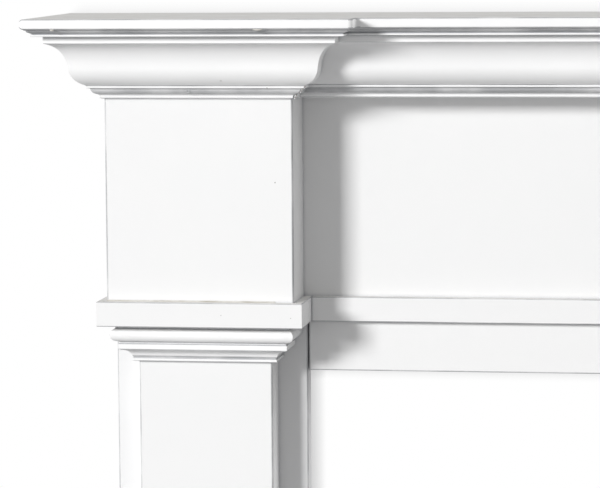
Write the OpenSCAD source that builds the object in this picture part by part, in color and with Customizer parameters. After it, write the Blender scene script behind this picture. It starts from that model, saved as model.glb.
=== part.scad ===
// Miniature fireplace mantel, 1:12, built from glued sheet and strip wood like a full-size one.
// The front faces -Y, the wall is behind at +Y, and the origin is the middle of the base.
// "Left" and "right" are as seen from the front. Every right-hand piece is the mirror of its left one.

/* [Overall] */
// Height from the floor to the top of the shelf
height = 112; // [100:0.5:120]
// Distance between the two pilasters, centre to centre
pilaster_spacing = 126; // [90:1:150]

/* [Face boards] */
// Distance from the wall to the face of the frieze, lintel and leg boards
face_d = 5.95; // [5:0.05:9]
// Thickness of the face boards and of the returns behind them
sheet_t = 1.6; // [1:0.1:2.4]
// Width of a leg board
leg_w = 16.2; // [15.8:0.1:18]
// How far the lining of the opening is set back from a leg board's edge
reveal = 1; // [0:0.05:1.4]
// Height of the lintel that shows below the band
lintel_h = 4.2; // [2:0.1:8]

/* [Shelf] */
// Thickness of the shelf board
shelf_t = 0.85; // [0.6:0.05:1.6]
// How far the shelf oversails the frieze blocks
shelf_over = 5.75; // [5.5:0.05:7]

/* [Pilasters] */
// Width of a frieze block and of a plinth
block_w = 15.6; // [14:0.1:15.8]
// How far a frieze block and a plinth stand out from the face boards
block_d = 5.3; // [4:0.05:6.5]
// Height of a frieze block between the crown and the band
block_h = 16.7; // [10:0.1:20]
// How far the shaft and the middle of the crown are set back from the block's face
step_back = 2.2; // [2.2:0.05:2.8]
// Height of a plinth
plinth_h = 14; // [8:0.5:24]

/* [Mouldings] */
// Height of the crown moulding under the shelf
crown_h = 5.8; // [5.4:0.1:6.4]
// Height of the flat band round the blocks and along the frieze
band_h = 2.05; // [1.4:0.05:3]
// Thickness of that band
band_t = 0.75; // [0.5:0.05:1]
// Height of the capital moulding below a block
capital_h = 3.2; // [2.8:0.1:3.6]
// Height of the base moulding above a plinth
base_h = 2.4; // [2:0.1:3]

/* [Hidden] */

paint = [0.93, 0.93, 0.92];
bare_wood = [0.83, 0.71, 0.53];

// Depths. wall_y is the wall plane, and y falls towards the front.
depth = face_d + block_d + shelf_over;
wall_y = depth / 2;
face_y = wall_y - face_d;
block_y = face_y - block_d;
shaft_y = block_y + step_back;

// Widths. Everything on a pilaster is centred on pilaster_x.
pilaster_x = pilaster_spacing / 2;
block_half = block_w / 2;
shaft_half = block_half - step_back;
block_inner_x = pilaster_x - block_half;
block_outer_x = pilaster_x + block_half;
leg_inner_x = pilaster_x - leg_w / 2;
leg_outer_x = pilaster_x + leg_w / 2;
jamb_x = leg_inner_x + reveal;

// Heights.
shelf_z = height - shelf_t;
crown_z = shelf_z - crown_h;
band_top_z = crown_z - block_h;
band_z = band_top_z - band_h;
opening_z = band_z - lintel_h;
shaft_z = plinth_h;

// Glue blocks are square strips in the corners behind the face boards.
glue_w = 2.4;
glue_len = 10;
rail_h = 6;
glue_low = 8; // height of the lowest glue blocks above the floor
glue_z = [for (i = [0 : 2]) glue_low + i * (band_z - 2 * glue_low - glue_len) / 2];

beyond = 1; // how far a cutting shape runs past what it cuts
curve_steps = 8; // straight facets in each curve of a moulding

// ---- Moulding profiles: [how far out, how far down], from the back plane at 0 ----

function bezier(a, b, c, d, t) =
    pow(1 - t, 3) * a + 3 * pow(1 - t, 2) * t * b + 3 * (1 - t) * t * t * c + pow(t, 3) * d;
function curve(a, b, c, d) = [for (i = [0 : curve_steps]) bezier(a, b, c, d, i / curve_steps)];
function arc(centre, r, from, to) =
    [for (i = [0 : curve_steps])
        let (angle = from + (to - from) * i / curve_steps) centre + r * [cos(angle), sin(angle)]];
function resize_profile(points, wanted_h, drawn_h) =
    [for (q = points) [q[0], q[1] * wanted_h / drawn_h]];
function turned_over(points, h) = [for (i = [len(points) - 1 : -1 : 0]) [points[i][0], h - points[i][1]]];

// Crown: small cavetto and fillet, corona, deep cove running into an ovolo, then two fillets with a bead.
crown_profile = resize_profile(concat(
    [[0, 0], [5.4, 0]],
    curve([5.4, 0.08], [5.1, 0.1], [4.95, 0.2], [4.93, 0.42]),
    [[4.93, 0.62], [4.1, 0.66], [4.1, 1.2]],
    curve([3.92, 1.25], [3.0, 1.52], [2.55, 2.3], [2.46, 3.25]),
    curve([2.44, 3.4], [2.38, 3.95], [2.0, 4.45], [1.3, 4.74]),
    [[1.22, 4.8], [1.22, 4.98]],
    curve([0.95, 5.02], [0.93, 5.25], [0.8, 5.42], [0.5, 5.5]),
    [[0.32, 5.6], [0.32, 5.84], [0.2, 5.9], [0, 5.9]]
), crown_h, 5.9);

// Capital: half-round, fillet, ovolo and a thin fillet.
capital_profile = resize_profile(concat(
    [[0, 0], [1.65, 0], [1.65, 0.24]],
    arc([1.61, 0.81], 0.55, -80, 80),
    [[1.35, 1.42], [1.35, 1.56], [1.46, 1.6], [1.46, 2.02], [1.3, 2.08]],
    curve([1.3, 2.16], [1.26, 2.5], [1.05, 2.74], [0.66, 2.8]),
    [[0.34, 2.86], [0.34, 3.16], [0, 3.2]]
), capital_h, 3.2);

// Base moulding: a fillet on the plinth, then a cyma up to a thin fillet on the shaft.
base_profile = turned_over(resize_profile(concat(
    [[0, 0], [2.1, 0], [2.1, 0.5], [1.9, 0.55]],
    curve([1.85, 0.6], [1.6, 1.15], [0.9, 1.0], [0.7, 1.8]),
    [[0.4, 1.85], [0.4, 2.3], [0, 2.4]]
), base_h, 2.4), base_h);

band_profile = [[0, 0], [band_t, 0], [band_t, band_h], [0, band_h]];

// ---- Shapes that repeat ----

module on_left() { mirror([1, 0, 0]) children(); }

// A rectangular board between two corners.
module board(low, high) { translate(low) cube(high - low); }

// A moulding whose back is the plane y = back_y and which faces the front.
module facing_front(profile, back_y, top_z, from_x, to_x) {
    translate([from_x, back_y, top_z]) rotate([90, 0, 90]) linear_extrude(to_x - from_x)
        polygon([for (q = profile) [-q[0], -q[1]]]);
}

// A moulding whose back is the plane x = back_x and which faces dir, 1 for +X and -1 for -X.
module facing_side(profile, back_x, top_z, from_y, to_y, dir) {
    translate([back_x, to_y, top_z]) rotate([90, 0, 0]) linear_extrude(to_y - from_y)
        polygon([for (q = profile) [dir * q[0], -q[1]]]);
}

function reach(profile) = max([for (q = profile) q[0]]) + beyond;

// The part of a moulding that a saw leaves between two mitre cuts, given as an outline seen from above.
module sawn_to(outline) {
    intersection() {
        children();
        translate([0, 0, -beyond]) linear_extrude(height + 2 * beyond) polygon(outline);
    }
}

// The front length of a moulding that wraps a post centred on pilaster_x, mitred at both ends.
module wrap_front(profile, half, front_y, top_z) {
    out = reach(profile);
    sawn_to([
        [pilaster_x - half + beyond, front_y + beyond], [pilaster_x + half - beyond, front_y + beyond],
        [pilaster_x + half + out, front_y - out], [pilaster_x - half - out, front_y - out]
    ]) facing_front(profile, front_y, top_z, pilaster_x - half - out, pilaster_x + half + out);
}

// A side length of that moulding: mitred at the front, square where it meets end_y.
// dir is 1 for the outer side of the post and -1 for the inner side.
module wrap_side(profile, half, front_y, end_y, top_z, dir) {
    out = reach(profile);
    x = pilaster_x + dir * half;
    sawn_to([
        [x - dir * beyond, front_y + beyond], [x + dir * out, front_y - out],
        [x + dir * out, end_y + beyond], [x - dir * beyond, end_y + beyond]
    ]) facing_side(profile, x, top_z, front_y - out, end_y, dir);
}

// ---- Middle pieces ----

module shelf_board() {
    wide = block_outer_x + shelf_over;
    step_x = block_inner_x - shelf_over;
    color(paint) translate([0, 0, shelf_z]) linear_extrude(shelf_t) polygon([
        [-wide, wall_y], [wide, wall_y], [wide, -wall_y], [step_x, -wall_y], [step_x, step_back - wall_y],
        [-step_x, step_back - wall_y], [-step_x, -wall_y], [-wide, -wall_y]
    ]);
}

module frieze_board() {
    color(paint) board([-block_outer_x, face_y, band_z], [block_outer_x, face_y + sheet_t, shelf_z]);
}

module lintel_board() {
    color(paint) board([-leg_inner_x, face_y, opening_z], [leg_inner_x, face_y + sheet_t, band_z]);
}

// Closes the top of the opening behind the lintel, and rests on the two jambs.
module head_return() {
    end = jamb_x + sheet_t;
    color(paint) board([-end, face_y + sheet_t, opening_z], [end, wall_y, opening_z + sheet_t]);
}

// Holds up the back of the shelf and lies against the wall.
module rear_rail() {
    end = block_outer_x - sheet_t;
    color(bare_wood) board([-end, wall_y - sheet_t, shelf_z - rail_h], [end, wall_y, shelf_z]);
}

// Brings the middle of the crown forward of the frieze.
module crown_packer() {
    color(bare_wood) board([-block_inner_x, shaft_y, crown_z], [block_inner_x, face_y, shelf_z]);
}

module frieze_band() {
    end = block_inner_x - band_t;
    color(paint) board([-end, face_y - band_t, band_z], [end, face_y, band_top_z]);
}

module crown_middle() {
    out = reach(crown_profile);
    color(paint) sawn_to([
        [-block_inner_x - beyond, shaft_y + beyond], [block_inner_x + beyond, shaft_y + beyond],
        [block_inner_x - out, shaft_y - out], [out - block_inner_x, shaft_y - out]
    ]) facing_front(crown_profile, shaft_y, shelf_z, -block_inner_x, block_inner_x);
}

// Square blocks rubbed into the corners behind each leg board, and behind the frieze under the shelf.
module glue_blocks() {
    back_y = face_y + sheet_t;
    side_x = block_outer_x - sheet_t;
    color(bare_wood) for (side = [-1, 1]) {
        for (z = glue_z, x = [side_x - glue_w / 2, jamb_x + sheet_t + glue_w / 2])
            translate([side * x - glue_w / 2, back_y, z]) cube([glue_w, glue_w, glue_len]);
        translate([side * (side_x - glue_w / 2) - glue_w / 2, back_y, band_z + beyond])
            cube([glue_w, glue_w, glue_len]);
    }
    color(bare_wood) for (x = [-40, 0, 40])
        translate([x - glue_len / 2, back_y, shelf_z - glue_w]) cube([glue_len, glue_w, glue_w]);
}

// ---- Right-hand pieces ----

module leg_board() {
    color(paint) board([leg_inner_x, face_y, 0], [leg_outer_x, face_y + sheet_t, band_z]);
}

module side_return() {
    color(paint) board([block_outer_x - sheet_t, face_y + sheet_t, 0], [block_outer_x, wall_y, shelf_z]);
}

module jamb() {
    color(paint) board([jamb_x, face_y + sheet_t, 0], [jamb_x + sheet_t, wall_y, opening_z]);
}

module frieze_block() {
    color(paint) board([block_inner_x, block_y, band_z], [block_outer_x, face_y, shelf_z]);
}

module shaft() {
    low = [pilaster_x - shaft_half, shaft_y, shaft_z];
    color(paint) board(low, [pilaster_x + shaft_half, face_y, band_z]);
}

module plinth() {
    color(paint) board([block_inner_x, block_y, 0], [block_outer_x, face_y, plinth_h]);
}

module crown_front() { color(paint) wrap_front(crown_profile, block_half, block_y, shelf_z); }

module crown_outer() { color(paint) wrap_side(crown_profile, block_half, block_y, wall_y, shelf_z, 1); }

// The short return between the two faces of the crown, mitred the same way at both ends.
module crown_inner() {
    out = reach(crown_profile);
    x = block_inner_x;
    color(paint) sawn_to([
        [x + beyond, block_y + beyond], [x - out, block_y - out],
        [x - out, shaft_y - out], [x + beyond, shaft_y + beyond]
    ]) facing_side(crown_profile, x, shelf_z, block_y - out, shaft_y, -1);
}

module band_front() { color(paint) wrap_front(band_profile, block_half, block_y, band_top_z); }

module band_outer() { color(paint) wrap_side(band_profile, block_half, block_y, wall_y, band_top_z, 1); }

module band_inner() { color(paint) wrap_side(band_profile, block_half, block_y, face_y, band_top_z, -1); }

module capital_front() { color(paint) wrap_front(capital_profile, shaft_half, shaft_y, band_z); }

module capital_side(dir) {
    color(paint) wrap_side(capital_profile, shaft_half, shaft_y, face_y, band_z, dir);
}

module base_front() { color(paint) wrap_front(base_profile, shaft_half, shaft_y, plinth_h + base_h); }

module base_side(dir) {
    color(paint) wrap_side(base_profile, shaft_half, shaft_y, face_y, plinth_h + base_h, dir);
}

// ---- Nodes ----

shelf_board();
frieze_board();
lintel_board();
head_return();
rear_rail();
crown_packer();
frieze_band();
crown_middle();
glue_blocks();

leg_board();  // leg_board_right
side_return();  // side_return_right
jamb();  // jamb_right
frieze_block();  // frieze_block_right
shaft();  // shaft_right
plinth();  // plinth_right
crown_front();  // crown_front_right
crown_outer();  // crown_outer_right
crown_inner();  // crown_inner_right
band_front();  // band_front_right
band_outer();  // band_outer_right
band_inner();  // band_inner_right
capital_front();  // capital_front_right
capital_side(1);  // capital_outer_right
capital_side(-1);  // capital_inner_right
base_front();  // base_front_right
base_side(1);  // base_outer_right
base_side(-1);  // base_inner_right

on_left() leg_board();  // leg_board_left
on_left() side_return();  // side_return_left
on_left() jamb();  // jamb_left
on_left() frieze_block();  // frieze_block_left
on_left() shaft();  // shaft_left
on_left() plinth();  // plinth_left
on_left() crown_front();  // crown_front_left
on_left() crown_outer();  // crown_outer_left
on_left() crown_inner();  // crown_inner_left
on_left() band_front();  // band_front_left
on_left() band_outer();  // band_outer_left
on_left() band_inner();  // band_inner_left
on_left() capital_front();  // capital_front_left
on_left() capital_side(1);  // capital_outer_left
on_left() capital_side(-1);  // capital_inner_left
on_left() base_front();  // base_front_left
on_left() base_side(1);  // base_outer_left
on_left() base_side(-1);  // base_inner_left
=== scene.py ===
# %% [markdown]
# # A dolls' house fireplace mantel in white paint
#
# The real thing is glued up from thin strips of wood: flat boards for the frieze, the lintel and the
# legs, square blocks and shafts on top of them, and lengths of moulding mitred round the corners. Then it
# is painted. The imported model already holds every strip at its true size, but with knife-sharp edges and
# no finish. This notebook builds each strip again with the soft edges that sandpaper and paint leave,
# then paints it.

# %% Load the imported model
import math
import random

import bmesh
import bpy
from mathutils import Matrix, Vector


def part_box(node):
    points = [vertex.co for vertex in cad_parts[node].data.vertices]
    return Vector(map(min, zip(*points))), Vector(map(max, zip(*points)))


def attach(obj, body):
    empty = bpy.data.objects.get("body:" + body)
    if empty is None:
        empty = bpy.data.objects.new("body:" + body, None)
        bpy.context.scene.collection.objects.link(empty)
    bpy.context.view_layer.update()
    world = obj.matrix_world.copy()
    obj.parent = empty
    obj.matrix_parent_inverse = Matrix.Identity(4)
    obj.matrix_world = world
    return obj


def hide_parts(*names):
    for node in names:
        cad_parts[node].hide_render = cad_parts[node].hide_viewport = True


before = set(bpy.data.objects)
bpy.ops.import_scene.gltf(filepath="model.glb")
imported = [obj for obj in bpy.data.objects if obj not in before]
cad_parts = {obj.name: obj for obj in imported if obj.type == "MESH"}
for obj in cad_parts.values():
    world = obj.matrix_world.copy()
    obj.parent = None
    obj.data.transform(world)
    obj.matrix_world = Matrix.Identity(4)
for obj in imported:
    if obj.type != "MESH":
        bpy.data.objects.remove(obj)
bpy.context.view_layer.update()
MM = 0.001
BACK = Vector((0, 1, 0))
UP = Vector((0, 0, 1))
RIGHT = Vector((1, 0, 0))
print("strips in the packed model:", len(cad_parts))

# %% [markdown]
# ## Where things are
#
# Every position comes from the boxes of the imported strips, so the finish always fits the frame. The
# origin is in the middle of the base, the wall is at +Y and the room at -Y. A few planes are used over
# and over, so they get names here, measured on the right-hand side.

# %% Name the main planes
SIDES = {"left": -1, "right": 1}
SHELF_LOW, SHELF_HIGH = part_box("shelf_board")
BLOCK_LOW, BLOCK_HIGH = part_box("frieze_block_right")
SHAFT_LOW, SHAFT_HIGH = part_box("shaft_right")
FRIEZE_LOW, FRIEZE_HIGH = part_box("frieze_board")
LINTEL_LOW, LINTEL_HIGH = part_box("lintel_board")
PILASTER_X = (BLOCK_LOW.x + BLOCK_HIGH.x) / 2
BLOCK_HALF = (BLOCK_HIGH.x - BLOCK_LOW.x) / 2
SHAFT_HALF = (SHAFT_HIGH.x - SHAFT_LOW.x) / 2
BLOCK_Y = BLOCK_LOW.y
SHAFT_Y = SHAFT_LOW.y
FACE_Y = FRIEZE_LOW.y
WALL_Y = SHELF_HIGH.y
TOP_Z = SHELF_HIGH.z
print("pilaster centre", round(PILASTER_X / MM, 2), "mm")
print("block stands out", round((FACE_Y - BLOCK_Y) / MM, 2), "mm")

# %% [markdown]
# ## The camera
#
# The mantel is looked at from close by, with a long lens, at one upper corner. The eye is near the middle
# line of the mantel and a little above the shelf, so the inner sides of the left pilaster show and the
# shelf's top is a sliver. A camera in Blender looks down its own -Z, so `to_track_quat` turns that axis
# towards the target.

# %% Set up the camera
EYE = Vector((-14.3 * MM, BLOCK_Y - 257.6 * MM, TOP_Z + 7.8 * MM))
TARGET = Vector((-54.66 * MM, BLOCK_Y, TOP_Z - 18.5 * MM))
LENS = 193
ROLL = math.radians(-0.43)


def make_camera():
    data = bpy.data.cameras.new("camera")
    data.lens = LENS
    data.sensor_width = 36
    data.clip_start = 10 * MM
    camera = bpy.data.objects.new("camera", data)
    camera.location = EYE
    look = (TARGET - EYE).to_track_quat("-Z", "Y")
    camera.rotation_euler = (look @ Matrix.Rotation(ROLL, 3, "Z").to_quaternion()).to_euler()
    bpy.context.scene.collection.objects.link(camera)
    bpy.context.scene.camera = camera
    return camera


camera = make_camera()
print("eye", [round(v / MM, 1) for v in EYE], "lens", LENS, "mm")

# %% [markdown]
# ## Light, floor and backdrop
#
# White paint shows its shape only by shading, so the light matters more than the colour. A soft box
# stands to the left, a little above the mantel, and throws a soft shadow of each pilaster to the right. A
# weaker one stands far to the right and lights only the sides that face it. An even pale room and a grey
# floor fill the shadows a little. The backdrop is a white sheet just behind that glows evenly. It is
# one-sided and takes no part in the light, so the back of the mantel can be seen and lit as well. Next to
# the object its glow is darkened by an ambient occlusion node: this is painted shade, strongest under the
# object and to its right, as if the open sky were up and to the left. The ambient occlusion node looks
# towards that sky instead of along the sheet's own normal.

# %% Light the room
WHITE = (1, 1, 1, 1)
KEY_AZIMUTH = math.radians(-37.5)
KEY_HEIGHT = math.radians(17)
KEY_AWAY = 1.6
KEY_WATTS = 21.5
RIGHT_AZIMUTH = math.radians(110)
RIGHT_HEIGHT = math.radians(12)
RIGHT_AWAY = 1.2
RIGHT_WATTS = 6.6
ROOM_LIGHT = 0.38


def make_world():
    world = bpy.data.worlds.new("pale room")
    bpy.context.scene.world = world
    world.use_nodes = True
    tree = world.node_tree
    tree.nodes.clear()
    out = tree.nodes.new("ShaderNodeOutputWorld")
    fill = tree.nodes.new("ShaderNodeBackground")
    fill.inputs["Color"].default_value = (1.0, 1.0, 1.0, 1)
    fill.inputs["Strength"].default_value = ROOM_LIGHT
    tree.links.new(fill.outputs["Background"], out.inputs["Surface"])


def soft_box(name, azimuth, height, away, width, tall, power, tint=(1, 1, 1)):
    data = bpy.data.lights.new(name, "AREA")
    data.shape = "RECTANGLE"
    data.size = width
    data.size_y = tall
    data.energy = power
    data.color = tint
    lamp = bpy.data.objects.new(name, data)
    aim = Vector((-PILASTER_X / 2, 0, TOP_Z * 0.8))
    level = Vector((math.sin(azimuth), -math.cos(azimuth), 0))
    back = level * math.cos(height) + UP * math.sin(height)
    lamp.location = aim + back * away
    lamp.rotation_euler = (-back).to_track_quat("-Z", "Y").to_euler()
    bpy.context.scene.collection.objects.link(lamp)
    return lamp


make_world()
key = soft_box("key soft box", KEY_AZIMUTH, KEY_HEIGHT, KEY_AWAY, 0.35, 0.32, KEY_WATTS)
right = soft_box("right soft box", RIGHT_AZIMUTH, RIGHT_HEIGHT, RIGHT_AWAY, 0.6, 0.6, RIGHT_WATTS)
bpy.context.scene.view_settings.view_transform = "Standard"

# %% Lay the floor and hang the backdrop
STAGE_HALF = 1.5
SKY_FROM = (-0.75, -0.5, 0.43)


def plain_sheet(name, corners, material):
    bm = bmesh.new()
    bm.faces.new([bm.verts.new(corner) for corner in corners])
    mesh = bpy.data.meshes.new(name)
    bm.to_mesh(mesh)
    bm.free()
    sheet = bpy.data.objects.new(name, mesh)
    sheet.data.materials.append(material)
    bpy.context.scene.collection.objects.link(sheet)
    return sheet


def floor_material():
    material = bpy.data.materials.new("grey floor")
    material.use_nodes = True
    shader = material.node_tree.nodes["Principled BSDF"]
    shader.inputs["Base Color"].default_value = (0.38, 0.38, 0.385, 1)
    shader.inputs["Roughness"].default_value = 0.6
    return material


def backdrop_material():
    material = bpy.data.materials.new("white backdrop")
    material.use_nodes = True
    tree = material.node_tree
    tree.nodes.clear()
    out = tree.nodes.new("ShaderNodeOutputMaterial")
    glow = tree.nodes.new("ShaderNodeEmission")
    # Painted shade: ambient occlusion darkens the backdrop's glow next to the object.
    near = tree.nodes.new("ShaderNodeAmbientOcclusion")
    near.samples = 16
    near.inputs["Distance"].default_value = 1.7 * MM
    sky = tree.nodes.new("ShaderNodeCombineXYZ")
    for axis, part in enumerate(SKY_FROM):
        sky.inputs[axis].default_value = part
    tree.links.new(sky.outputs["Vector"], near.inputs["Normal"])
    ramp = tree.nodes.new("ShaderNodeMapRange")
    ramp.inputs["From Min"].default_value = 0.1
    ramp.inputs["From Max"].default_value = 0.95
    ramp.inputs["To Min"].default_value = 0.33
    ramp.inputs["To Max"].default_value = 1.0
    side = tree.nodes.new("ShaderNodeNewGeometry")
    clear = tree.nodes.new("ShaderNodeBsdfTransparent")
    mix = tree.nodes.new("ShaderNodeMixShader")
    tree.links.new(near.outputs["AO"], ramp.inputs["Value"])
    tree.links.new(ramp.outputs["Result"], glow.inputs["Color"])
    tree.links.new(side.outputs["Backfacing"], mix.inputs["Fac"])
    tree.links.new(glow.outputs["Emission"], mix.inputs[1])
    tree.links.new(clear.outputs["BSDF"], mix.inputs[2])
    tree.links.new(mix.outputs["Shader"], out.inputs["Surface"])
    return material


floor = plain_sheet("floor", [
    (-STAGE_HALF, -STAGE_HALF, 0), (STAGE_HALF, -STAGE_HALF, 0),
    (STAGE_HALF, STAGE_HALF, 0), (-STAGE_HALF, STAGE_HALF, 0),
], floor_material())
behind = WALL_Y + 0.2 * MM
backdrop = plain_sheet("backdrop", [
    (-STAGE_HALF, behind, 0), (STAGE_HALF, behind, 0),
    (STAGE_HALF, behind, STAGE_HALF), (-STAGE_HALF, behind, STAGE_HALF),
], backdrop_material())
for flag in ("visible_diffuse", "visible_glossy", "visible_shadow", "visible_transmission"):
    setattr(backdrop, flag, False)
print("backdrop", round((behind - WALL_Y) / MM, 2), "mm behind the wall plane")

# %% [markdown]
# ## Finishes
#
# The paint is a satin white over fine-grained wood. Close up it isn't even: it is thicker in some places,
# it has the pebbled skin of sprayed paint, a trace of the grain shows through, and a few specks were
# caught in it. Dust lies on ledges that face up. The mouldings and the shelf get a lighter copy of the
# white, which is painted light, and the leg boards a greyer copy, which is painted shade. Each of these
# effects is a small node group, so that every material can use it with its own values. They read Object
# coordinates, and since each piece's place is in its mesh, the pattern runs on across neighbouring strips
# at one scale.

# %% Helpers for node groups


def new_group(name, inputs, outputs):
    group = bpy.data.node_groups.new(name, "ShaderNodeTree")
    for label, kind, value in inputs:
        socket = group.interface.new_socket(label, in_out="INPUT", socket_type=kind)
        if value is not None:
            socket.default_value = value
    for label, kind in outputs:
        group.interface.new_socket(label, in_out="OUTPUT", socket_type=kind)
    return group, group.nodes.new("NodeGroupInput"), group.nodes.new("NodeGroupOutput")


def add(tree, kind, settings=None, **values):
    node = tree.nodes.new(kind)
    for key_name, value in (settings or {}).items():
        setattr(node, key_name, value)
    for label, value in values.items():
        socket = node.inputs[label.replace("_", " ")]
        if isinstance(value, bpy.types.NodeSocket):
            tree.links.new(value, socket)
        else:
            socket.default_value = value
    return node


def maths(tree, operation, a, b=0.0, clamp=False):
    node = add(tree, "ShaderNodeMath", {"operation": operation, "use_clamp": clamp})
    for socket, value in zip(node.inputs, (a, b)):
        if isinstance(value, bpy.types.NodeSocket):
            tree.links.new(value, socket)
        else:
            socket.default_value = value
    return node.outputs["Value"]


def blend_colours(tree, factor, first, second):
    node = add(tree, "ShaderNodeMix", {"data_type": "RGBA"})
    for socket, value in zip((node.inputs[0], node.inputs[6], node.inputs[7]), (factor, first, second)):
        if isinstance(value, bpy.types.NodeSocket):
            tree.links.new(value, socket)
        else:
            socket.default_value = value
    return node.outputs[2]


def ramp_value(tree, value, low, high, to_low=0.0, to_high=1.0, smooth=True):
    node = add(tree, "ShaderNodeMapRange", {"interpolation_type": "SMOOTHSTEP" if smooth else "LINEAR"})
    for label, amount in zip(("From Min", "From Max", "To Min", "To Max"), (low, high, to_low, to_high)):
        node.inputs[label].default_value = amount
    tree.links.new(value, node.inputs["Value"])
    return node.outputs["Result"]


# %% Paint skin: cloudiness, pebbling and caught specks


def paint_skin_group():
    group, given, made = new_group(
        "paint skin",
        [("Vector", "NodeSocketVector", None), ("Cloudiness", "NodeSocketFloat", 1.0),
         ("Pebbling", "NodeSocketFloat", 1.0)],
        [("Cloud", "NodeSocketFloat"), ("Specks", "NodeSocketFloat"), ("Height", "NodeSocketFloat")],
    )
    place = given.outputs["Vector"]
    cloud = add(group, "ShaderNodeTexNoise", Vector=place, Scale=95.0, Detail=3.0, Roughness=0.55)
    cloud_spread = ramp_value(group, cloud.outputs["Fac"], 0.3, 0.7)
    cloud_out = maths(group, "MULTIPLY", cloud_spread, given.outputs["Cloudiness"])
    pebble = add(group, "ShaderNodeTexNoise", Vector=place, Scale=2600.0, Detail=2.0, Roughness=0.5)
    sag = add(group, "ShaderNodeTexNoise", Vector=place, Scale=420.0, Detail=2.0, Roughness=0.45)
    lumps = maths(group, "ADD", maths(group, "MULTIPLY", pebble.outputs["Fac"], 0.35),
                  maths(group, "MULTIPLY", sag.outputs["Fac"], 1.0))
    height = maths(group, "MULTIPLY", lumps, given.outputs["Pebbling"])
    cells = add(group, "ShaderNodeTexVoronoi", {"feature": "F1"}, Vector=place, Scale=330.0)
    chosen = add(group, "ShaderNodeSeparateColor", Color=cells.outputs["Color"])
    is_chosen = ramp_value(group, chosen.outputs["Red"], 0.955, 0.96, smooth=False)
    is_near = ramp_value(group, cells.outputs["Distance"], 0.02, 0.05, 1.0, 0.0)
    specks = maths(group, "MULTIPLY", is_chosen, is_near)
    group.links.new(cloud_out, made.inputs["Cloud"])
    group.links.new(specks, made.inputs["Specks"])
    group.links.new(maths(group, "ADD", height, maths(group, "MULTIPLY", specks, 0.6)), made.inputs["Height"])
    return group


PAINT_SKIN = paint_skin_group()
print("paint skin outputs:", [s.name for s in PAINT_SKIN.interface.items_tree if s.in_out == "OUTPUT"])

# %% Wood grain: pale stripes that run along one axis


def wood_grain_group():
    group, given, made = new_group(
        "wood grain",
        [("Vector", "NodeSocketVector", None)],
        [("Stripes", "NodeSocketFloat"), ("Pores", "NodeSocketFloat")],
    )
    place = given.outputs["Vector"]
    bend = add(group, "ShaderNodeTexNoise", Vector=place, Scale=60.0, Detail=2.0)
    bent = add(group, "ShaderNodeVectorMath", {"operation": "MULTIPLY_ADD"})
    group.links.new(bend.outputs["Color"], bent.inputs[0])
    bent.inputs[1].default_value = (0.004, 0.004, 0.004)
    group.links.new(place, bent.inputs[2])
    bent_place = bent.outputs["Vector"]
    stripes = add(group, "ShaderNodeTexNoise", Vector=bent_place, Scale=520.0, Detail=4.0, Roughness=0.6)
    pores = add(group, "ShaderNodeTexNoise", Vector=bent_place, Scale=2400.0, Detail=2.0, Roughness=0.6)
    group.links.new(ramp_value(group, stripes.outputs["Fac"], 0.32, 0.68), made.inputs["Stripes"])
    group.links.new(ramp_value(group, pores.outputs["Fac"], 0.56, 0.7), made.inputs["Pores"])
    return group


WOOD_GRAIN = wood_grain_group()

# %% [markdown]
# Dust gathers where a surface faces up. The true normal of the geometry says which way that is: its Z
# part is 1 on a level ledge and 0 on an upright face. A little noise breaks the layer up.

# %% Dust on ledges


def dust_group():
    group, given, made = new_group(
        "dust on ledges",
        [("Vector", "NodeSocketVector", None), ("Normal", "NodeSocketVector", None)],
        [("Dust", "NodeSocketFloat")],
    )
    parts = add(group, "ShaderNodeSeparateXYZ", Vector=given.outputs["Normal"])
    level = ramp_value(group, parts.outputs["Z"], 0.55, 0.95)
    patchy = add(group, "ShaderNodeTexNoise", Scale=700.0, Detail=3.0, Roughness=0.6)
    group.links.new(given.outputs["Vector"], patchy.inputs["Vector"])
    patches = ramp_value(group, patchy.outputs["Fac"], 0.25, 0.75, 0.55, 1.0)
    group.links.new(maths(group, "MULTIPLY", level, patches), made.inputs["Dust"])
    return group


DUST = dust_group()

# %% [markdown]
# Two more things are painted into the colour. The tight corners, where ambient occlusion is low, are
# darkened towards grey: this is painted shade, broken into patches by a noise. And a face attribute is 1
# on the narrow facets of an arris, where a noise darkens the colour towards grey in patches: this is
# painted shade that draws a dark line along the edges.

# %% Painted shade in corners and on sharp edges
CORNER_REACH = 0.42 * MM


# Painted shade: darkens the colour where ambient occlusion finds a corner shut, in patches.
def corner_shade_group():
    group, given, made = new_group(
        "painted shade in corners",
        [("Openness", "NodeSocketFloat", 1.0), ("Vector", "NodeSocketVector", None)],
        [("Corner shade", "NodeSocketFloat")],
    )
    shut = ramp_value(group, given.outputs["Openness"], 0.28, 0.9, 1.0, 0.0, smooth=False)
    patchy = add(group, "ShaderNodeTexNoise", Vector=given.outputs["Vector"], Scale=500.0, Detail=3.0)
    patches = ramp_value(group, patchy.outputs["Fac"], 0.3, 0.7, 0.75, 1.0)
    group.links.new(maths(group, "MULTIPLY", maths(group, "POWER", shut, 1.3), patches), made.inputs["Corner shade"])
    return group


# Painted shade: darkens the narrow facets of sharp edges towards grey, in patches.
def edge_shade_group():
    group, given, made = new_group(
        "painted shade on sharp edges",
        [("Worn", "NodeSocketFloat", 0.0), ("Vector", "NodeSocketVector", None)],
        [("Edge shade", "NodeSocketFloat")],
    )
    patchy = add(group, "ShaderNodeTexNoise", Vector=given.outputs["Vector"], Scale=260.0, Detail=4.0)
    patches = ramp_value(group, patchy.outputs["Fac"], 0.3, 0.65, 0.45, 1.0)
    group.links.new(maths(group, "MULTIPLY", given.outputs["Worn"], patches), made.inputs["Edge shade"])
    return group


CORNER_SHADE = corner_shade_group()
EDGE_SHADE = edge_shade_group()

# %% [markdown]
# A painted strip is only painted where the room can see it. Its back was left bare, so one material holds
# both: a face attribute called `bare` is 1 on the faces that never met a brush. The grain runs along the
# strip, so the Mapping node squeezes the coordinates across it and stretches them along it.

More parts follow.
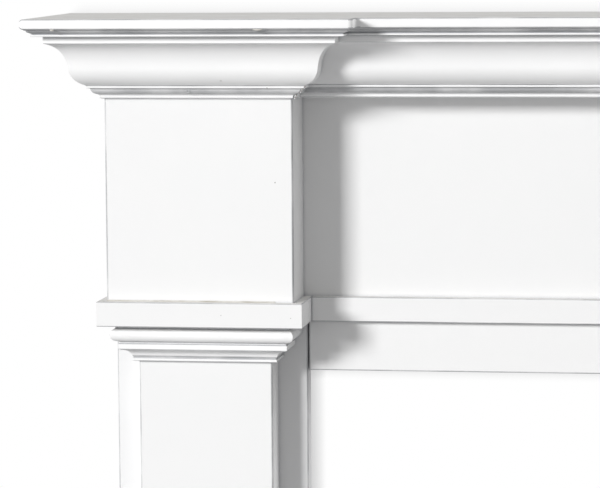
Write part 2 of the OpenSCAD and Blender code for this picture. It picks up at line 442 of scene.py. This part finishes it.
# %% The painted and the bare finishes
PAINT_WHITE = (0.885, 0.885, 0.882, 1)
# A lighter copy of the white, which is painted light on the mouldings and the shelf.
PAINT_LIT_WHITE = (0.965, 0.965, 0.962, 1)
# A greyer copy of the white, which is painted shade on the leg boards.
PAINT_SHADED_WHITE = (0.8, 0.8, 0.802, 1)
PAINT_SHADE = (0.862, 0.863, 0.866, 1)
SPECK_GREY = (0.42, 0.41, 0.4, 1)
# Grey of the painted shade on sharp edges.
EDGE_SHADE_GREY = (0.45, 0.455, 0.465, 1)
# Grey of the painted shade in corners.
CORNER_SHADE_GREY = (0.54, 0.55, 0.57, 1)
DUST_GREY = (0.66, 0.64, 0.6, 1)
WOOD_LIGHT = (0.72, 0.56, 0.37, 1)
WOOD_DARK = (0.56, 0.40, 0.24, 1)
PORE_BROWN = (0.36, 0.24, 0.14, 1)
# These two serve the dust along the ledges, and the painted shade on the drips.
DUST_AND_SHADE_PALE = (0.78, 0.77, 0.74, 1)
DUST_AND_SHADE_BROWN = (0.42, 0.39, 0.33, 1)
# These two serve real grit, and the painted shade in the open mitre.
GRIT_AND_SHADE_DARK = (0.2, 0.19, 0.18, 1)
GRIT_AND_SHADE_PALE = (0.45, 0.43, 0.41, 1)
ALONG = {"x": (0.06, 1, 1), "y": (1, 0.06, 1), "z": (1, 1, 0.06)}


def use_group(tree, group, **values):
    node = add(tree, "ShaderNodeGroup", {"node_tree": group})
    for label, value in values.items():
        if isinstance(value, bpy.types.NodeSocket):
            tree.links.new(value, node.inputs[label])
        else:
            node.inputs[label].default_value = value
    return node


def start_material(name):
    material = bpy.data.materials.new(name)
    material.use_nodes = True
    tree = material.node_tree
    coordinates = add(tree, "ShaderNodeTexCoord").outputs["Object"]
    return material, tree, tree.nodes["Principled BSDF"], coordinates


def grain_along(tree, coordinates, axis):
    mapping = add(tree, "ShaderNodeMapping", Vector=coordinates, Scale=ALONG[axis])
    return use_group(tree, WOOD_GRAIN, Vector=mapping.outputs["Vector"])


def wood_colour(tree, grain):
    stripes = blend_colours(tree, grain.outputs["Stripes"], WOOD_LIGHT, WOOD_DARK)
    return blend_colours(tree, maths(tree, "MULTIPLY", grain.outputs["Pores"], 0.5), stripes, PORE_BROWN)


def painted_finish(axis, name="white paint", whitest=PAINT_WHITE):
    material, tree, shader, coordinates = start_material(f"{name}, grain along {axis}")
    normal = add(tree, "ShaderNodeNewGeometry").outputs["Normal"]
    skin = use_group(tree, PAINT_SKIN, Vector=coordinates, Cloudiness=1.0, Pebbling=1.0)
    dust = use_group(tree, DUST, Vector=coordinates, Normal=normal)
    grain = grain_along(tree, coordinates, axis)
    bare = add(tree, "ShaderNodeAttribute", {"attribute_name": "bare"}).outputs["Fac"]
    white = blend_colours(tree, maths(tree, "MULTIPLY", skin.outputs["Cloud"], 0.3), whitest, PAINT_SHADE)
    dusty = blend_colours(tree, maths(tree, "MULTIPLY", dust.outputs["Dust"], 0.55), white, DUST_GREY)
    specked = blend_colours(tree, maths(tree, "MULTIPLY", skin.outputs["Specks"], 0.35), dusty, SPECK_GREY)
    # Painted shade: the narrow facets of sharp edges are darkened in patches, drawing a dark line along them.
    edge_facet = add(tree, "ShaderNodeAttribute", {"attribute_name": "edge_facet"}).outputs["Fac"]
    edge_shade_mask = use_group(tree, EDGE_SHADE, Worn=edge_facet, Vector=coordinates).outputs["Edge shade"]
    edge_shaded = blend_colours(tree, edge_shade_mask, specked, EDGE_SHADE_GREY)
    # Painted shade: corners that ambient occlusion finds shut are darkened towards grey.
    near = add(tree, "ShaderNodeAmbientOcclusion", {"samples": 8}, Distance=CORNER_REACH).outputs["AO"]
    corner_shade_mask = use_group(tree, CORNER_SHADE, Openness=near, Vector=coordinates).outputs["Corner shade"]
    corner_shaded = blend_colours(tree, corner_shade_mask, edge_shaded, CORNER_SHADE_GREY)
    colour = blend_colours(tree, bare, corner_shaded, wood_colour(tree, grain))
    tree.links.new(colour, shader.inputs["Base Color"])
    rough = ramp_value(tree, skin.outputs["Cloud"], 0.0, 1.0, 0.6, 0.7)
    rough_dusty = maths(tree, "ADD", rough, maths(tree, "MULTIPLY", dust.outputs["Dust"], 0.25))
    rough_bare = maths(tree, "MAXIMUM", rough_dusty, maths(tree, "MULTIPLY", bare, 0.75))
    tree.links.new(rough_bare, shader.inputs["Roughness"])
    grain_height = maths(tree, "MULTIPLY", grain.outputs["Stripes"], 0.12)
    height = maths(tree, "ADD", skin.outputs["Height"], grain_height)
    bump = add(tree, "ShaderNodeBump", Strength=0.35, Distance=0.02 * MM, Height=height)
    tree.links.new(bump.outputs["Normal"], shader.inputs["Normal"])
    return material


def bare_finish(axis):
    material, tree, shader, coordinates = start_material("bare wood, grain along " + axis)
    grain = grain_along(tree, coordinates, axis)
    tree.links.new(wood_colour(tree, grain), shader.inputs["Base Color"])
    rough = ramp_value(tree, grain.outputs["Stripes"], 0.0, 1.0, 0.68, 0.8)
    tree.links.new(rough, shader.inputs["Roughness"])
    height = maths(tree, "SUBTRACT", grain.outputs["Stripes"], grain.outputs["Pores"])
    bump = add(tree, "ShaderNodeBump", Strength=0.5, Distance=0.03 * MM, Height=height)
    tree.links.new(bump.outputs["Normal"], shader.inputs["Normal"])
    return material


# Real dust along a ledge; on the drips the same darker colour is painted shade.
def dust_and_drip_shade_finish():
    material, tree, shader, coordinates = start_material("warm dust along a ledge, and painted shade on drips")
    mapping = add(tree, "ShaderNodeMapping", Vector=coordinates, Scale=(0.35, 1, 1))
    patchy = add(tree, "ShaderNodeTexNoise", Scale=900.0, Detail=4.0, Roughness=0.6)
    tree.links.new(mapping.outputs["Vector"], patchy.inputs["Vector"])
    amount = ramp_value(tree, patchy.outputs["Fac"], 0.3, 0.72)
    tree.links.new(blend_colours(tree, amount, DUST_AND_SHADE_PALE, DUST_AND_SHADE_BROWN), shader.inputs["Base Color"])
    tree.links.new(ramp_value(tree, amount, 0.0, 1.0, 0.6, 0.85), shader.inputs["Roughness"])
    return material


# Real grit; in the open mitre the same dark colour is painted shade.
def grit_and_gap_shade_finish():
    material, tree, shader, coordinates = start_material("grit caught in the paint")
    grainy = add(tree, "ShaderNodeTexNoise", Vector=coordinates, Scale=6000.0, Detail=2.0)
    colour = blend_colours(tree, grainy.outputs["Fac"], GRIT_AND_SHADE_DARK, GRIT_AND_SHADE_PALE)
    tree.links.new(colour, shader.inputs["Base Color"])
    tree.links.new(ramp_value(tree, grainy.outputs["Fac"], 0.3, 0.7, 0.5, 0.7), shader.inputs["Roughness"])
    return material


PAINTED = {axis: painted_finish(axis) for axis in ALONG}
# Mouldings and shelf: the lighter copy of the white is painted light.
LIT_PAINTED = {axis: painted_finish(axis, "fresh white paint", PAINT_LIT_WHITE) for axis in "xy"}
# Leg boards: the greyer copy of the white is painted shade.
SHADED_PAINTED = {"z": painted_finish("z", "thin white paint", PAINT_SHADED_WHITE)}
BARE = {axis: bare_finish(axis) for axis in ALONG}
DUST_AND_DRIP_SHADE = dust_and_drip_shade_finish()
GRIT_AND_GAP_SHADE = grit_and_gap_shade_finish()
for family in (PAINTED, LIT_PAINTED, SHADED_PAINTED, BARE):
    print("finishes:", [material.name for material in family.values()])
print("and:", DUST_AND_DRIP_SHADE.name, "and", GRIT_AND_GAP_SHADE.name)

# %% [markdown]
# ## From a bmesh to a finished piece
#
# Every strip ends the same way: its mesh becomes an object, its curved stretches are shaded smooth while
# real corners stay crisp, the sides that no brush reached are marked as bare, and the packed strip that
# the piece stands for is hidden. The bare sides are given as directions: a board in the front has a
# bare back, and the two returns that make a leg a hollow box are bare on the inside of that box as well.
# Wide flat sides are shaded flat, because a smooth normal would run from one rounded edge to the other
# and tint the whole side.

# %% Turn a bmesh into a piece
SMOOTH_UP_TO = math.radians(38)
ARRIS_TURN = math.radians(14)
ARRIS_FACET = 0.08 * MM
FLAT_FROM = 0.3 * MM


def is_flat(face):
    """Whether a face is wide enough to be a flat side, which keeps its own normal."""
    return face.calc_area() > FLAT_FROM * max(e.calc_length() for e in face.edges)


def is_arris(face):
    """Whether a face is one of the narrow facets that turn a sharp corner."""
    longest = max(e.calc_length() for e in face.edges)
    turns = [e for e in face.edges if len(e.link_faces) == 2 and e.calc_face_angle() > ARRIS_TURN]
    return len(face.verts) == 4 and face.calc_area() < ARRIS_FACET * longest and len(turns) > 1


def as_object(bm, name, material, bare=()):
    bmesh.ops.recalc_face_normals(bm, faces=bm.faces[:])
    bare_mark = bm.faces.layers.float.new("bare")
    edge_facet_mark = bm.faces.layers.float.new("edge_facet")
    for face in bm.faces:
        face[bare_mark] = float(any(face.normal.dot(side) > 0.9 for side in bare))
        # This face mark carries the painted shade on the narrow facets of sharp edges.
        face[edge_facet_mark] = float(is_arris(face))
    curved = [not is_flat(face) for face in bm.faces]
    mesh = bpy.data.meshes.new(name)
    bm.to_mesh(mesh)
    bm.free()
    mesh.set_sharp_from_angle(angle=SMOOTH_UP_TO)
    mesh.polygons.foreach_set("use_smooth", curved)
    piece = bpy.data.objects.new(name, mesh)
    bpy.context.scene.collection.objects.link(piece)
    piece.data.materials.append(material)
    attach(piece, "root")
    return piece


def finish_piece(bm, node, axis, painted=True, bare=(BACK,), finishes=PAINTED):
    if painted:
        piece = as_object(bm, "painted_" + node, finishes[axis], bare)
    else:
        piece = as_object(bm, "sawn_" + node, BARE[axis])
    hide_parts(node)
    return piece


# %% [markdown]
# ## Flat boards
#
# A board starts as a cube stretched to its packed box. Sanding and paint round its edges, so all of them
# get a bevel of a few segments, except the edges against the wall or against the piece behind, where
# paint has filled the corner and a bevel would show as a groove.

# %% Make a board
ARRIS = 0.11 * MM


def stretched_cube(low, high):
    bm = bmesh.new()
    bmesh.ops.create_cube(bm, size=1)
    bmesh.ops.scale(bm, vec=high - low, verts=bm.verts[:])
    bmesh.ops.translate(bm, vec=(low + high) / 2, verts=bm.verts[:])
    return bm


def soften(bm, edges, radius, segments=3):
    bmesh.ops.bevel(bm, geom=edges, offset=radius, segments=segments, profile=0.5, affect="EDGES",
                    material=-1, clamp_overlap=True)


def make_board(node, axis, radius=ARRIS, painted=True, trim=Vector((0, 0, 0)), bare=(BACK,),
               finishes=PAINTED):
    low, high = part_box(node)
    bm = stretched_cube(low + trim, high - trim)
    front_edges = [e for e in bm.edges if min(v.co.y for v in e.verts) < high.y - trim.y - 0.01 * MM]
    soften(bm, front_edges, radius)
    return finish_piece(bm, node, axis, painted, bare, finishes)


# %% [markdown]
# ## The shelf
#
# The shelf is one thin board. Its front edge steps back between the pilasters. Its long edges are only
# softened, while its two ends are rounded almost to a half ellipse. The outline is drawn as one face of
# eight corners and extruded upwards. Two cuts near each end give the rounding something to bend.

# %% Make the shelf
STEP_X = BLOCK_LOW.x - (SHELF_HIGH.x - BLOCK_HIGH.x)
STEP_Y = SHAFT_Y - BLOCK_Y + SHELF_LOW.y
SHELF_ROUND = 0.15 * MM
CORNER_ROUND = 0.35 * MM
END_ROUND = 0.42 * MM
END_CUTS = (0.0, 0.35)
END_THINNING = 0.8


def round_ends(bm, start, middle):
    """Thins both ends towards the middle height, along a quarter of an ellipse."""
    for sign in (1, -1):
        for share in END_CUTS:
            x = sign * (start + END_ROUND * share)
            everything = bm.verts[:] + bm.edges[:] + bm.faces[:]
            bmesh.ops.bisect_plane(bm, geom=everything, plane_co=(x, 0, 0), plane_no=(1, 0, 0))
    for vert in bm.verts:
        past = max(0.0, abs(vert.co.x) - start) / END_ROUND
        vert.co.z = middle + (vert.co.z - middle) * math.sqrt(1 - END_THINNING * min(past, 1.0) ** 2)


def make_shelf():
    bm = bmesh.new()
    half = [(SHELF_HIGH.x, WALL_Y), (SHELF_HIGH.x, SHELF_LOW.y), (STEP_X, SHELF_LOW.y), (STEP_X, STEP_Y)]
    outline = half + [(-x, y) for x, y in reversed(half)]
    face = bm.faces.new([bm.verts.new((x, y, SHELF_LOW.z)) for x, y in outline])
    raised = bmesh.ops.extrude_face_region(bm, geom=[face])["geom"]
    lift = [g for g in raised if isinstance(g, bmesh.types.BMVert)]
    bmesh.ops.translate(bm, vec=(0, 0, SHELF_HIGH.z - SHELF_LOW.z), verts=lift)
    in_front = WALL_Y - 0.01 * MM
    corners = [e for e in bm.edges if abs(e.verts[0].co.z - e.verts[1].co.z) > 0.1 * MM
               and e.verts[0].co.y < in_front]
    soften(bm, corners, CORNER_ROUND, 4)
    rims = [e for e in bm.edges if abs(e.verts[0].co.z - e.verts[1].co.z) < 0.01 * MM
            and min(v.co.y for v in e.verts) < in_front]
    soften(bm, rims, SHELF_ROUND, 4)
    round_ends(bm, SHELF_HIGH.x - END_ROUND, (SHELF_LOW.z + SHELF_HIGH.z) / 2)
    return finish_piece(bm, "shelf_board", "x", finishes=LIT_PAINTED)


shelf = make_shelf()
print("shelf faces:", len(shelf.data.polygons))

# %% [markdown]
# ## Boards, blocks and shafts
#
# The lintel was cut a hair too short: a fine dark line shows at each end, where it meets the leg boards.
# So it is trimmed by that gap at both ends.

# %% Make the boards
LINTEL_GAP = Vector((0.11 * MM, 0, 0))
make_board("frieze_board", "x")
make_board("lintel_board", "x", trim=LINTEL_GAP)
make_board("head_return", "x", bare=(BACK, UP))
make_board("rear_rail", "x", painted=False)
crown_packer = make_board("crown_packer", "x", bare=(BACK, -BACK, UP, RIGHT, -RIGHT))
make_board("frieze_band", "x", radius=0.07 * MM, bare=())
for side, sign in SIDES.items():
    # The leg boards take the greyer copy of the white: painted shade.
    make_board("leg_board_" + side, "z", finishes=SHADED_PAINTED)
    make_board("side_return_" + side, "z", bare=(BACK, -sign * RIGHT))
    make_board("jamb_" + side, "z", bare=(BACK, sign * RIGHT))
    make_board("frieze_block_" + side, "z", radius=0.14 * MM)
    make_board("shaft_" + side, "z", radius=0.13 * MM)
    make_board("plinth_" + side, "x", radius=0.14 * MM)

# %% [markdown]
# ## Mouldings
#
# A moulding is an outline pulled along a line, so it is made that way. The outline is written as it is
# drawn on paper: how far out from its back, and how far down from its top, in millimetres. Its curves are
# worked out from four control points, its corners are rounded with a vertex bevel, and
# `extrude_face_region` pulls it out to length. Then a saw cut, `bisect_plane`, makes each mitre, and the
# cut is closed with a flat face.

# %% Draw an outline and pull it out
CURVE_STEPS = 12


def curve(a, b, c, d):
    points = []
    for i in range(CURVE_STEPS + 1):
        t = i / CURVE_STEPS
        weights = ((1 - t) ** 3, 3 * (1 - t) ** 2 * t, 3 * (1 - t) * t * t, t ** 3)
        points.append(tuple(sum(w * p[k] for w, p in zip(weights, (a, b, c, d))) for k in (0, 1)))
    return points


def arc(centre, radius, start, end):
    angles = [math.radians(start + (end - start) * i / CURVE_STEPS) for i in range(CURVE_STEPS + 1)]
    return [(centre[0] + radius * math.cos(a), centre[1] + radius * math.sin(a)) for a in angles]


def is_corner(vert):
    here, (a, b) = vert.co, [e.other_vert(vert).co for e in vert.link_edges]
    return (here - a).angle(b - here) > math.radians(30)


def pulled_outline(outline, start, end, matrix, arris):
    """The outline lies in local YZ, Y outwards and Z up, and is pulled from start to end along X."""
    bm = bmesh.new()
    face = bm.faces.new([bm.verts.new((start, out * MM, -down * MM)) for out, down in outline])
    corners = [v for v in bm.verts if v.co.y > 0.02 * MM and is_corner(v)]
    bmesh.ops.bevel(bm, geom=corners, offset=arris, segments=3, profile=0.5, affect="VERTICES",
                    material=-1, clamp_overlap=True)
    face = bm.faces[:][0]
    pulled = bmesh.ops.extrude_face_region(bm, geom=[face])["geom"]
    far_verts = [g for g in pulled if isinstance(g, bmesh.types.BMVert)]
    bmesh.ops.translate(bm, vec=(end - start, 0, 0), verts=far_verts)
    bmesh.ops.transform(bm, matrix=matrix, verts=bm.verts[:])
    return bm


def saw(bm, point, away):
    """Cuts off what lies beyond the plane through point, where away points, and closes the cut."""
    cut = bmesh.ops.bisect_plane(bm, geom=bm.verts[:] + bm.edges[:] + bm.faces[:], plane_co=point,
                                 plane_no=away, clear_outer=True)["geom_cut"]
    edges = [g for g in cut if isinstance(g, bmesh.types.BMEdge)]
    bmesh.ops.contextual_create(bm, geom=edges)


# %% [markdown]
# Three mouldings wrap a pilaster, each with a front length and two sides. They differ only in the
# outline, the size of the post they wrap, and how far back the sides run, so one function makes all of
# them. The mitre planes stand upright through the post's corners at 45 degrees. On one corner of the
# crown the mitre doesn't quite close: the strip was cut a little under there, which a second, leaning saw
# cut through its lowest part repeats. A few crumbs of dark grit are set in that gap as painted shade,
# to darken it.

# %% Wrap a post in a moulding
REACH = 8 * MM


def facing(direction, origin):
    """Local X runs along the moulding, local Y points out of its face and local Z up."""
    out = Vector(direction)
    along = Vector((abs(out.y), abs(out.x), 0))
    columns = Matrix((along, out, Vector((0, 0, 1)))).transposed().to_4x4()
    return Matrix.Translation(origin) @ columns


def wrap_front(node, outline, side, half, front_y, top_z, arris, undercut=None, finishes=LIT_PAINTED):
    x = SIDES[side] * PILASTER_X
    bm = pulled_outline(outline, -half - REACH, half + REACH, facing((0, -1, 0), (x, front_y, top_z)), arris)
    for end in (-1, 1):
        saw(bm, Vector((x + end * half, front_y, top_z)), Vector((end, 1, 0)))
    if undercut:
        depth, lean = undercut
        inner = -SIDES[side]
        saw(bm, Vector((x + inner * half, front_y, top_z - depth)), Vector((inner, 1, -lean)))
    return finish_piece(bm, node, "x", bare=(), finishes=finishes)


def wrap_side(node, outline, x, direction, front_y, end_y, top_z, arris, far_mitre=False, finishes=LIT_PAINTED):
    bm = pulled_outline(outline, front_y - REACH, end_y + (REACH if far_mitre else 0),
                        facing((direction, 0, 0), (x, 0, top_z)), arris)
    saw(bm, Vector((x, front_y, top_z)), Vector((-direction, -1, 0)))
    if far_mitre:
        saw(bm, Vector((x, end_y, top_z)), Vector((direction, 1, 0)))
    return finish_piece(bm, node, "y", bare=(), finishes=finishes)


# %% [markdown]
# ### The crown
#
# From the shelf down: a small fillet and an ovolo, a thin fillet, a flat corona, the deep cove that turns
# into a round below, a fillet, a bead and a last thin fillet. It breaks forward over each pilaster, so
# there is a short return between the two planes with a mitre at both ends.

# %% Draw the crown
CROWN = (
    [(0, 0), (5.4, 0), (5.4, 0.05), (5.22, 0.08), (5.22, 0.18)]
    + curve((5.2, 0.19), (5.1, 0.26), (4.9, 0.3), (4.8, 0.38))
    + [(4.93, 0.41), (4.93, 0.58), (4.1, 0.62), (4.1, 1.16)]
    + curve((3.92, 1.21), (3.0, 1.48), (2.55, 2.26), (2.46, 3.2))[:-1]
    + curve((2.46, 3.2), (2.4, 3.88), (2.0, 4.38), (1.3, 4.66))
    + [(1.22, 4.72), (1.22, 4.9)]
    + curve((0.95, 4.94), (0.93, 5.16), (0.8, 5.33), (0.5, 5.41))
    + [(0.32, 5.5), (0.32, 5.74), (0.2, 5.8), (0, 5.8)]
)
CROWN_ARRIS = 0.045 * MM
CROWN_TOP = SHELF_LOW.z
OPEN_MITRE = {"left": (4.35 * MM, 0.17), "right": None}


def make_crown_middle():
    end = BLOCK_LOW.x
    bm = pulled_outline(CROWN, -end, end, facing((0, -1, 0), (0, SHAFT_Y, CROWN_TOP)), CROWN_ARRIS)
    for side in (-1, 1):
        saw(bm, Vector((side * end, SHAFT_Y, CROWN_TOP)), Vector((side, -1, 0)))
    return finish_piece(bm, "crown_middle", "x", bare=(), finishes=LIT_PAINTED)


make_crown_middle()
for side, sign in SIDES.items():
    inner_x, outer_x = sign * BLOCK_LOW.x, sign * BLOCK_HIGH.x
    wrap_front("crown_front_" + side, CROWN, side, BLOCK_HALF, BLOCK_Y, CROWN_TOP, CROWN_ARRIS,
               OPEN_MITRE[side])
    wrap_side("crown_outer_" + side, CROWN, outer_x, sign, BLOCK_Y, WALL_Y, CROWN_TOP, CROWN_ARRIS)
    wrap_side("crown_inner_" + side, CROWN, inner_x, -sign, BLOCK_Y, SHAFT_Y, CROWN_TOP, CROWN_ARRIS, True)

# %% Draw the band, the capital and the base moulding
BAND_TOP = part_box("frieze_band")[1].z
BAND_HEIGHT = (BAND_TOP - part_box("frieze_band")[0].z) / MM
BAND_OUT = (FACE_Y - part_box("frieze_band")[0].y) / MM
BAND_ARRIS = 0.07 * MM
BAND = [(0, 0), (BAND_OUT, 0), (BAND_OUT, BAND_HEIGHT), (0, BAND_HEIGHT)]
CAPITAL = (
    [(0, 0), (1.65, 0), (1.65, 0.24)]
    + arc((1.5, 0.81), 0.55, -80, 80)
    + [(1.35, 1.42), (1.35, 1.56), (1.46, 1.6), (1.46, 2.02), (1.3, 2.08)]
    + curve((1.3, 2.12), (0.92, 2.14), (0.54, 2.34), (0.46, 2.74))
    + [(0.38, 2.8), (0.38, 2.86), (0.46, 2.9), (0.46, 3.1), (0.2, 3.16), (0, 3.2)]
)
BASE_HEIGHT = 2.4
BASE_DRAWN_DOWN = (
    [(0, 0), (2.1, 0), (2.1, 0.5), (1.9, 0.55)]
    + curve((1.85, 0.6), (1.6, 1.15), (0.9, 1.0), (0.7, 1.8))
    + [(0.4, 1.85), (0.4, 2.3), (0, 2.4)]
)
BASE = [(out, BASE_HEIGHT - down) for out, down in reversed(BASE_DRAWN_DOWN)]

for side, sign in SIDES.items():
    block_in, block_out = sign * BLOCK_LOW.x, sign * BLOCK_HIGH.x
    shaft_in, shaft_out = sign * SHAFT_LOW.x, sign * SHAFT_HIGH.x
    wrap_front("band_front_" + side, BAND, side, BLOCK_HALF, BLOCK_Y, BAND_TOP, BAND_ARRIS, finishes=PAINTED)
    wrap_side("band_outer_" + side, BAND, block_out, sign, BLOCK_Y, WALL_Y, BAND_TOP, BAND_ARRIS,
              finishes=PAINTED)
    wrap_side("band_inner_" + side, BAND, block_in, -sign, BLOCK_Y, FACE_Y, BAND_TOP, BAND_ARRIS,
              finishes=PAINTED)
    for name, outline, node_top in (("capital", CAPITAL, FRIEZE_LOW.z),
                                    ("base", BASE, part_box("base_front_" + side)[1].z)):
        wrap_front(f"{name}_front_{side}", outline, side, SHAFT_HALF, SHAFT_Y, node_top, 0.035 * MM)
        wrap_side(f"{name}_outer_{side}", outline, shaft_out, sign, SHAFT_Y, FACE_Y, node_top, 0.035 * MM)
        wrap_side(f"{name}_inner_{side}", outline, shaft_in, -sign, SHAFT_Y, FACE_Y, node_top, 0.035 * MM)

# %% [markdown]
# ## Glue blocks
#
# Behind the boards, short square sticks are rubbed into the corners with glue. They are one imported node
# made of separate solids, so its mesh is copied, its loose triangles are merged, and its edges are
# bevelled.

# %% Make the glue blocks


def make_glue_blocks():
    bm = bmesh.new()
    bm.from_mesh(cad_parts["glue_blocks"].data)
    bmesh.ops.remove_doubles(bm, verts=bm.verts[:], dist=0.001 * MM)
    bmesh.ops.dissolve_limit(bm, angle_limit=math.radians(1), verts=bm.verts[:], edges=bm.edges[:])
    soften(bm, bm.edges[:], 0.12 * MM, 2)
    return finish_piece(bm, "glue_blocks", "z", painted=False, bare=())


glue_blocks = make_glue_blocks()

# %% [markdown]
# ## Small faults
#
# Hand work shows. Drips of paint dried on the shelf's lower edge, a bubble burst and left a tiny ring on
# the crown's bead, and grit was caught here and there. They are real bumps, so they are modelled: a drip
# is a sphere flattened against the surface, and the ring is a small circle spun about an axis. The drips
# are given the darker dusty finish, which is painted shade for the shadow they cast. The larger ones have
# places of their own on the left pilaster, as fractions of the block's width and height. The rest are
# scattered with a fixed seed, so the result is the same each time. Crumbs of the dark grit are also set
# along the open mitre of the crown, where they are painted shade that darkens the gap.

# %% Drips, a burst bubble, grit, and painted shade in the open mitre
random.seed(12)
BLOCK_W = BLOCK_HIGH.x - BLOCK_LOW.x
BLOCK_TALL = CROWN_TOP - CROWN[-1][1] * MM - BAND_TOP
LEFT_EDGE = -BLOCK_HIGH.x
DRIPS = ((-0.19, 0.2, 0.13), (0.88, 0.42, 0.1))


def add_drop(bm, centre, radii):
    """A sphere squeezed to three radii, half sunk in the surface."""
    made = bmesh.ops.create_icosphere(bm, subdivisions=2, radius=1)["verts"]
    bmesh.ops.scale(bm, vec=radii, verts=made)
    bmesh.ops.translate(bm, vec=centre, verts=made)


def on_left_block(across, down, y=BLOCK_Y):
    """A point on the left pilaster: 0 to 1 across the block, and 0 to 1 down from the crown to the band."""
    return Vector((LEFT_EDGE + across * BLOCK_W, y, BAND_TOP + (1 - down) * BLOCK_TALL))


def make_drips():
    bm = bmesh.new()
    for across, wide, deep in DRIPS:
        place = on_left_block(across, 0, SHELF_LOW.y + 0.12 * MM)
        place.z = SHELF_LOW.z
        add_drop(bm, place, Vector((wide, 0.09, deep)) * MM)
    for _ in range(5):
        x = random.uniform(0.1, 0.9) * SHELF_HIGH.x
        place = Vector((x, SHELF_LOW.y + 0.12 * MM, SHELF_LOW.z + 0.04 * MM))
        if place.x < STEP_X:
            place.y += STEP_Y - SHELF_LOW.y
        add_drop(bm, place, Vector((random.uniform(0.1, 0.3), 0.08, 0.06)) * MM)
    # The darker dusty colour on the drips is painted shade.
    return as_object(bm, "paint_drips", DUST_AND_DRIP_SHADE)


def make_bubble():
    bm = bmesh.new()
    rim = bmesh.ops.create_circle(bm, segments=8, radius=0.035 * MM)["verts"]
    bmesh.ops.translate(bm, vec=(0.13 * MM, 0, 0), verts=rim)
    bmesh.ops.spin(bm, geom=bm.edges[:], cent=(0, 0, 0), axis=(0, 1, 0), angle=2 * math.pi, steps=20,
                   use_merge=True)
    bmesh.ops.remove_doubles(bm, verts=bm.verts[:], dist=0.001 * MM)
    place = on_left_block(0.46, 0, BLOCK_Y - 0.92 * MM)
    place.z = CROWN_TOP - 5.14 * MM
    bmesh.ops.translate(bm, vec=place, verts=bm.verts[:])
    return as_object(bm, "burst_bubble", PAINTED["x"])


# Painted shade: dark crumbs set along the open mitre darken the gap.
GAP_SHADE_CRUMBS = ((1.2, 4.78), (1.02, 4.98), (0.88, 5.14), (0.7, 5.32), (0.4, 5.5), (0.3, 5.68))


def make_grit_and_gap_shade():
    bm = bmesh.new()
    spots = [(on_left_block(0.905, 0.41), 0.045), (on_left_block(0.62, 1.06, BLOCK_Y - BAND_OUT * MM), 0.035),
             (on_left_block(0.99, 1.07, BLOCK_Y - BAND_OUT * MM), 0.03)]
    chip = on_left_block(0.88, 0, BLOCK_Y - 1.2 * MM)
    chip.z = CROWN_TOP - 4.86 * MM
    spots.append((chip, 0.06))
    for out, down in GAP_SHADE_CRUMBS:
        corner = Vector((-BLOCK_LOW.x + out * MM, BLOCK_Y - out * MM, CROWN_TOP - down * MM))
        spots.append((corner, random.uniform(0.06, 0.09)))
    for _ in range(14):
        side = random.choice((-1, 1))
        x = side * random.uniform(SHAFT_LOW.x, SHAFT_HIGH.x)
        spots.append((Vector((x, SHAFT_Y, random.uniform(0.2, 0.7) * TOP_Z)), random.uniform(0.02, 0.035)))
    for place, size in spots:
        add_drop(bm, place, Vector((size, size * 0.5, size * random.uniform(0.8, 1.5))) * MM)
    return as_object(bm, "caught_grit_and_gap_shade", GRIT_AND_GAP_SHADE)


make_drips()
make_bubble()
make_grit_and_gap_shade()

# %% [markdown]
# Dust and old polish have darkened the corner where a block stands on its band. It is a thin soft strip,
# so it is drawn as a small outline and pulled along the corner like a moulding.

# %% Dust in the corner over each band
DUST_OUTLINE = [(0, 0), (0.2, 0), (0.07, -0.035), (0.02, -0.1), (0, -0.11)]


def make_ledge_dust(side):
    x = SIDES[side] * PILASTER_X
    matrix = facing((0, -1, 0), (x, BLOCK_Y, BAND_TOP))
    bm = pulled_outline(DUST_OUTLINE, -BLOCK_HALF, BLOCK_HALF * 0.8, matrix, 0.01 * MM)
    return as_object(bm, "ledge_dust_" + side, DUST_AND_DRIP_SHADE)


for side in SIDES:
    make_ledge_dust(side)
